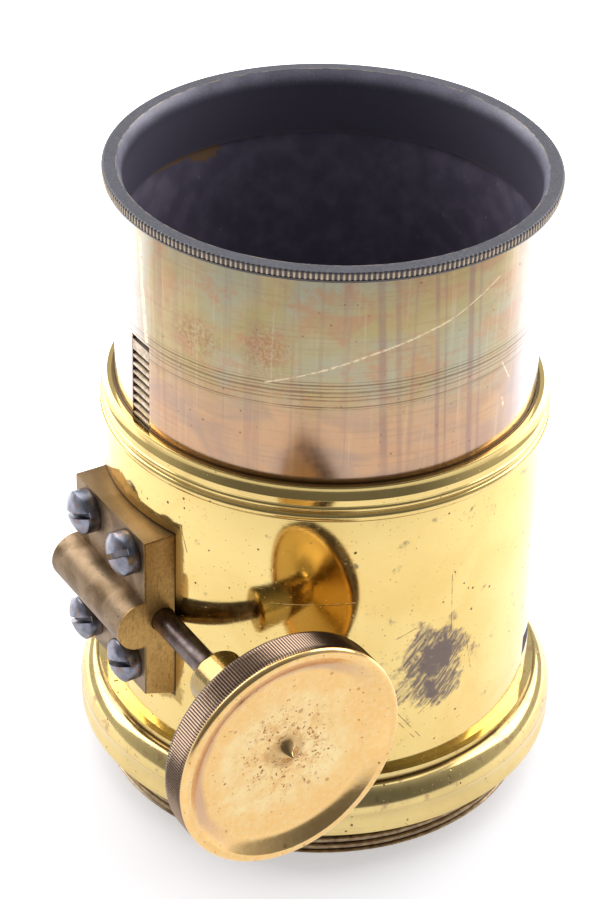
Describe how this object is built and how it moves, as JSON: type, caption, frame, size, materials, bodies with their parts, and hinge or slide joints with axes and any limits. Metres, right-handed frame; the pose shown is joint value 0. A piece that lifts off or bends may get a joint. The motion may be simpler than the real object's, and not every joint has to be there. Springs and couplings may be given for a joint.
{
  "type": "brass camera lens",
  "caption": "Brass barrel lens with a sliding draw tube, focused by a rack and pinion with a knurled side knob, on a threaded base.",
  "frame": {"origin": "on the optical axis, at the rear edge of the mounting thread, which is the face that the lens stands on", "axes": "+Z along the optical axis towards the front of the lens, -X towards the rack and its pinion housing, -Y towards the focus knob"},
  "size_m": [0.1073, 0.1028, 0.1212],
  "materials": {
    "lacquered_brass": "polished, lacquered, fine scratches",
    "tarnished_brass": "satin, iridescent tarnish",
    "patinated_brass": "dull brown patina",
    "dull_brass": "unpolished, dull",
    "blackened_brass": "matte black",
    "blued_steel": "blue-grey, worn",
    "dark_steel": "turned, dark",
    "crown_glass": "polished, clear",
    "flint_glass": "polished, faintly yellow"
  },
  "bodies": {
    "barrel": {"outer_barrel": "lacquered_brass", "mouth_ring": "lacquered_brass", "guide_ring": "dull_brass", "base_ring": "lacquered_brass", "pinion_housing": "patinated_brass", "housing_screws": "blued_steel", "rear_cell": "dull_brass", "rear_crown_lens": "crown_glass", "rear_spacer_ring": "blackened_brass", "rear_flint_lens": "flint_glass", "rear_retaining_ring": "blackened_brass"},
    "draw": {"draw_tube": "tarnished_brass", "rack": "dull_brass", "stop_screw": "blued_steel", "front_hood": "blackened_brass", "front_cell": "blackened_brass", "front_crown_lens": "crown_glass", "front_flint_lens": "flint_glass", "front_retaining_ring": "blackened_brass"},
    "pinion": {"pinion_shaft": "dark_steel", "focus_knob": "lacquered_brass"}
  },
  "joints": [
    {"name": "focus_slide", "type": "slide", "parent": "barrel", "child": "draw", "axis": [0, 0, 1], "range_m": [-0.0238, 0.0078]},
    {"name": "pinion_spin", "type": "hinge", "parent": "barrel", "child": "pinion", "pos_m": [-0.04079, 0, 0.046], "axis": [0, -1, 0], "range_deg": [-435, 145]}
  ],
  "couplings": [
    {"joint": "pinion_spin", "follows": "focus_slide", "rad_per_m": 314.96}
  ]
}
